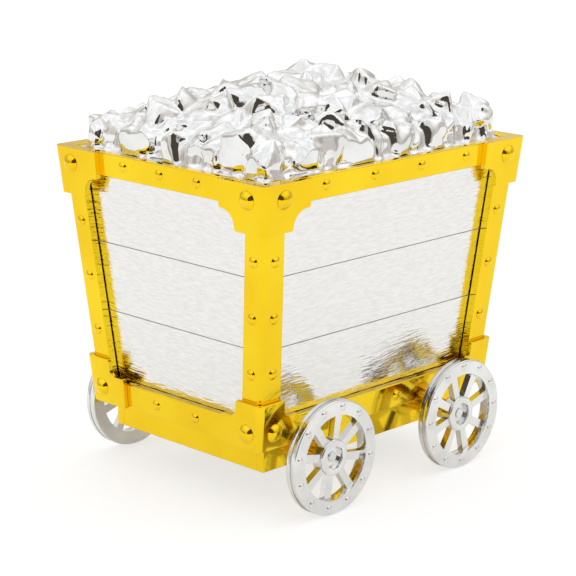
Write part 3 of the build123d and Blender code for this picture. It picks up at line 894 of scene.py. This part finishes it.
def rivet(name, width, height, finish, seed):
    """Replaces a node of rivets by turned heads in the same places."""
    mesh = bpy.data.meshes.new(f"{name}_places")
    mesh.from_pydata([top for top, axis in tops[name]], [], [])
    ways = [value for top, axis in tops[name] for value in axis]
    mesh.attributes.new("facing", "FLOAT_VECTOR", "POINT").data.foreach_set("vector", ways)
    head = rivet_head(f"{name}_head", width, height)
    draft = linked(f"{name}_draft", mesh)
    riveting.apply(draft, head=head, tilt=HEAD_TILT, seed=seed, finish=finish)
    piece = evaluated(draft, f"{name}_turned")
    bpy.data.objects.remove(head)
    piece.data.shade_smooth()
    piece.data.set_sharp_from_angle(angle=HEAD_SHARP)
    stand_in(piece, name)
    print(name, len(tops[name]), "heads")


# %% [markdown]
# ## Sizes of the heads
# Posts and rails have small rivets, the corner brackets have broad bolts, and screws hold the chassis
# together from below. The wheels have the smallest heads. Each row gives a node of the design, the width
# and the height of its heads in millimetres, their finish, and the seed of their small differences.

# %% Rivets
RIVETS = (
    ("post_rivets", 4.4, 1.2, gold, 1),
    ("upper_rail_rivets", 4.2, 1.2, gold, 2),
    ("lower_rail_rivets", 4.2, 1.2, gold, 3),
    ("upper_bracket_bolts", 7.4, 2.2, gold, 4),
    ("lower_bracket_bolts", 7.4, 2.2, gold, 5),
    ("chassis_screws", 5.0, 1.4, gold, 6),
    ("wheel_rivets_front", 3.0, 0.7, silver_wheel, 7),
    ("wheel_rivets_rear", 3.0, 0.7, silver_wheel, 7),
)
for name, width, height, finish, seed in RIVETS:
    rivet(name, width * MM, height * MM, finish, seed)

# %% [markdown]
# ## The load of ore
# The load is one casting: a heap of broken lumps, run together where they touch, bright as foil. A
# handful of lumps are made as convex hulls of random points, which gives flat broken faces. A tree
# scatters them over the design's mound. The Remesh modifier then melts lumps and mound into one skin,
# and a little smoothing rounds the breaks, as casting and polishing do.

# %% Lumps
BLOCKINESS = 4
LUMP_KINDS = 8


def add_lump(shape, rng, corners, place=Matrix.Identity(4)):
    """Adds a convex lump about 2 units across, with flat broken faces, to a mesh."""
    points = []
    for _ in range(corners):
        way = Vector((rng.gauss(0, 1), rng.gauss(0, 1), rng.gauss(0, 1)))
        way /= sum(abs(part) ** BLOCKINESS for part in way) ** (1 / BLOCKINESS)
        way.x *= rng.uniform(0.8, 1.15)
        way.z *= rng.uniform(0.7, 1.0)
        points.append(shape.verts.new(place @ way))
    hull = bmesh.ops.convex_hull(shape, input=points)
    spare = {item for key in ("geom_interior", "geom_unused") for item in hull[key]}
    spare = [item for item in spare if isinstance(item, bmesh.types.BMVert) and not item.link_faces]
    bmesh.ops.delete(shape, geom=spare, context="VERTS")


def lump(name, rng, corners=14):
    """One lump as an object, for the tree to scatter."""
    shape = bmesh.new()
    add_lump(shape, rng, corners)
    bmesh.ops.recalc_face_normals(shape, faces=shape.faces)
    mesh = bpy.data.meshes.new(name)
    shape.to_mesh(mesh)
    shape.free()
    return bpy.data.objects.new(name, mesh)


print("kinds of lump:", LUMP_KINDS)

# %% [markdown]
# ## Lumps along the rim
# At its foot the heap stands up steeply, like a row of cobbles just inside the rim. Scattering would put
# too few lumps there, so these are set one by one along the four sides, taller than they are wide, each
# with its own turn and size.

# %% Rim lumps
RAIL_THICKNESS = 3.5 * MM
LUMP_ACROSS, LUMP_UP = (5.8, 7.6), (10, 14)
STRAY, LIFT = 1.5, (0.5, 3.0)
RIM_CORNERS = 20


def add_rim_lumps(mesh, rng, pitch=11.0 * MM, inset=8.5 * MM):
    """A row of upright lumps just inside the rim, which make the steep foot of the heap."""
    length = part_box("upper_rail_front")[1][0] - RAIL_THICKNESS
    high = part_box("upper_rail_left")[1]
    width, rim = high[1] - RAIL_THICKNESS, high[2]
    row = []
    for reach, other, turn in ((length, width, 0), (width, length, 1)):
        count = round(2 * (reach - inset) / pitch)
        for i in range(count + 1):
            along = (i / count * 2 - 1) * (reach - inset)
            for side in (-1, 1):
                across = side * (other - inset)
                row.append((along, across) if turn == 0 else (across, along))
    shape = bmesh.new()
    shape.from_mesh(mesh)
    for x, y in row:
        x += rng.uniform(-STRAY, STRAY) * MM
        y += rng.uniform(-STRAY, STRAY) * MM
        wide, deep, tall = (rng.uniform(*span) * MM for span in (LUMP_ACROSS, LUMP_ACROSS, LUMP_UP))
        size = Matrix.Diagonal((wide, deep, tall, 1))
        spin = Matrix.Rotation(rng.uniform(0, 6.28), 4, "Z")
        centre = Matrix.Translation((x, y, rim + rng.uniform(*LIFT) * MM))
        add_lump(shape, rng, RIM_CORNERS, centre @ spin @ size)
    bmesh.ops.recalc_face_normals(shape, faces=shape.faces)
    shape.to_mesh(mesh)
    shape.free()


print("lumps along the rim are", LUMP_UP[0] * 2, "to", LUMP_UP[1] * 2, "mm tall at most")

# %% [markdown]
# ## Scattered lumps
# Over the mound a tree spreads points that keep their distance from each other, sinks them a little, and
# puts a lump on each with its own turn and size. The mound itself stays under them, so that no gap is
# left between two lumps.

# %% Ore tree
MOST_POINTS = 40000.0
ANY_TURN = 6.283


def ore_tree():
    """Scatters lumps over the upper faces of the mound, and keeps the mound under them."""
    numbers = dict.fromkeys(("spacing", "least", "most", "sink", "base"), "number")
    tree = Tree("ore_heap", lumps="lumps", **numbers, seed="count")
    mound = tree.start["geometry"]
    place = tree.node("ShaderNodeSeparateXYZ", Vector=tree.node("GeometryNodeInputPosition")[0])
    over = {"data_type": "FLOAT"}
    above = tree.node("FunctionNodeCompare", over, i0=place[2], i1=tree.start["base"])[0]
    seed = tree.start["seed"]
    points, normal = tree.node(
        "GeometryNodeDistributePointsOnFaces",
        {"distribute_method": "POISSON"},
        Mesh=mound,
        Selection=above,
        **{"Distance Min": tree.start["spacing"], "Density Max": MOST_POINTS, "Seed": seed},
    )[:2]
    depth = tree.maths("MULTIPLY", tree.start["sink"], -1.0)
    down = tree.node("ShaderNodeVectorMath", {"operation": "SCALE"}, i0=normal, Scale=depth)[0]
    points = tree.node("GeometryNodeSetPosition", Geometry=points, Offset=down)[0]
    apart = {"Separate Children": True, "Reset Children": True}
    parts = tree.node("GeometryNodeCollectionInfo", Collection=tree.start["lumps"], **apart)[0]
    turn = tree.number_between("FLOAT_VECTOR", (0.0,) * 3, (ANY_TURN,) * 3, Seed=seed)
    size = tree.number_between("FLOAT", tree.start["least"], tree.start["most"], Seed=seed)
    choice = tree.number_between("INT", 0, LUMP_KINDS - 1, Seed=seed)
    scattered = tree.node(
        "GeometryNodeInstanceOnPoints",
        Points=points,
        Instance=parts,
        **{"Pick Instance": True, "Instance Index": choice, "Rotation": turn, "Scale": size},
    )[0]
    joined = tree.group.nodes.new("GeometryNodeJoinGeometry")
    tree.group.links.new(mound, joined.inputs[0])
    tree.group.links.new(scattered, joined.inputs[0])
    tree.finish(joined.outputs[0])
    return tree


scattering = ore_tree()
print("scattering tree inputs:", list(scattering.sockets))

# %% [markdown]
# ## Keeping the heap inside the rim
# The lumps are set by rule, so some of them come too far out. The part of the heap above its seat is
# eased back inside the rim: a point that is well inside stays, and one near the limit is moved back the
# more, the nearer it is. Cutting at the limit would leave a flat wall. Below the seat's height nothing
# is moved, and there the feet of some lumps still run into the rails and hang under the load.

# %% Keeping inside
HEAP_GAP = 0.4 * MM
HEAP_TOP = 164.6 * MM
SEAT_HEIGHT = 5.2 * MM
SOFT_SIDE, SOFT_TOP = 1.2 * MM, 3.0 * MM


def eased(value, limit, soft):
    """Moves a value back as it nears its limit, and never lets it past."""
    over = abs(value) - (limit - soft)
    if over <= 0:
        return value
    return math.copysign(limit - soft + soft * over / (soft + over), value)


def keep_inside(mesh):
    """Eases the heap back inside the rim, and under its greatest height."""
    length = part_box("upper_rail_front")[1][0] - RAIL_THICKNESS - HEAP_GAP
    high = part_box("upper_rail_left")[1]
    width, rim = high[1] - RAIL_THICKNESS - HEAP_GAP, high[2]
    plug_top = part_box("ore_load")[0][2] + SEAT_HEIGHT
    for vertex in mesh.vertices:
        x, y, z = vertex.co
        below = max(0.0, rim - z)
        if z > plug_top:
            x = eased(x, length - END_LEAN * below, SOFT_SIDE)
            y = eased(y, width - SIDE_LEAN * below, SOFT_SIDE)
        if z > rim:
            z = eased(z, HEAP_TOP, SOFT_TOP)
        vertex.co = (x, y, z)


print("the heap may be", HEAP_TOP / MM, "mm high")

# %% [markdown]
# ## One skin
# Lumps and mound are joined, and a Remesh modifier melts them into one closed skin. A Displace modifier
# with a cell pattern then swells it into soft pillows with creases between them, as thin bright metal
# looks when it has been crumpled. A little smoothing polishes it.

# %% Melting
HEAP_VOXEL = 0.76 * MM
DENT_WIDTH, DENT_DEPTH = 8.0 * MM, -1.7 * MM


def joined_meshes(name, *things):
    """One object with the meshes of several, which are removed."""
    shape = bmesh.new()
    for thing in things:
        shape.from_mesh(thing.data)
        bpy.data.objects.remove(thing)
    mesh = bpy.data.meshes.new(name)
    shape.to_mesh(mesh)
    shape.free()
    return linked(name, mesh)


def melted(draft, name):
    """One closed skin over everything in a mesh, crumpled and polished."""
    melt = draft.modifiers.new("melt", "REMESH")
    melt.mode = "VOXEL"
    melt.voxel_size = HEAP_VOXEL
    dents = bpy.data.textures.new("dents", "VORONOI")
    dents.noise_scale = DENT_WIDTH
    dents.distance_metric = "DISTANCE_SQUARED"
    crumple = draft.modifiers.new("crumple", "DISPLACE")
    crumple.texture = dents
    crumple.texture_coords = "LOCAL"
    crumple.strength = DENT_DEPTH
    crumple.mid_level = 0.3
    polish = draft.modifiers.new("polish", "SMOOTH")
    polish.factor = 0.5
    polish.iterations = 4
    return evaluated(draft, name)


print("the skin is made of cells of", round(HEAP_VOXEL / MM, 2), "mm")

# %% [markdown]
# ## The heap
# The design's mound is lowered by a fifth above the rim, which leaves room for the lumps on it. Then the
# steps above follow each other: lumps on the mound, lumps along the rim, one skin, and the easing. The
# sizes below are in millimetres, and base is the height above which lumps are scattered.

# %% Heap
LUMP_SEED, SCATTER_SEED = 19, 4
MOUND_SHARE = 0.80
HEAP = {"spacing": 9.0, "least": 6.5, "most": 11.0, "sink": 3.6, "base": 133.5}


def ore_heap():
    """Makes the load's heap, and puts it in the place of the design's load."""
    rng = random.Random(LUMP_SEED)
    shelf = bpy.data.collections.new("lump_shelf")
    for i in range(LUMP_KINDS):
        shelf.objects.link(lump(f"lump_{i}", rng))
    draft = linked("ore_draft", merged_copy("ore_load"))
    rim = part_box("upper_rail_left")[1][2]
    for vertex in draft.data.vertices:
        if vertex.co.z > rim:
            vertex.co.z = rim + (vertex.co.z - rim) * MOUND_SHARE
    rim_lumps = bpy.data.meshes.new("rim_lumps")
    add_rim_lumps(rim_lumps, rng)
    sizes = {key: value * MM for key, value in HEAP.items()}
    scattering.apply(draft, lumps=shelf, **sizes, seed=SCATTER_SEED, finish=silver_cast)
    scattered = evaluated(draft, "ore_scattered")
    draft = joined_meshes("ore_joined", scattered, linked("rim_lumps", rim_lumps))
    piece = melted(draft, "ore_load_heap")
    for thing in list(shelf.objects):
        bpy.data.objects.remove(thing)
    bpy.data.collections.remove(shelf)
    keep_inside(piece.data)
    piece.data.materials.clear()
    piece.data.materials.append(silver_cast)
    piece.data.shade_smooth()
    stand_in(piece, "ore_load")
    print("ore heap:", len(piece.data.polygons), "faces")


ore_heap()
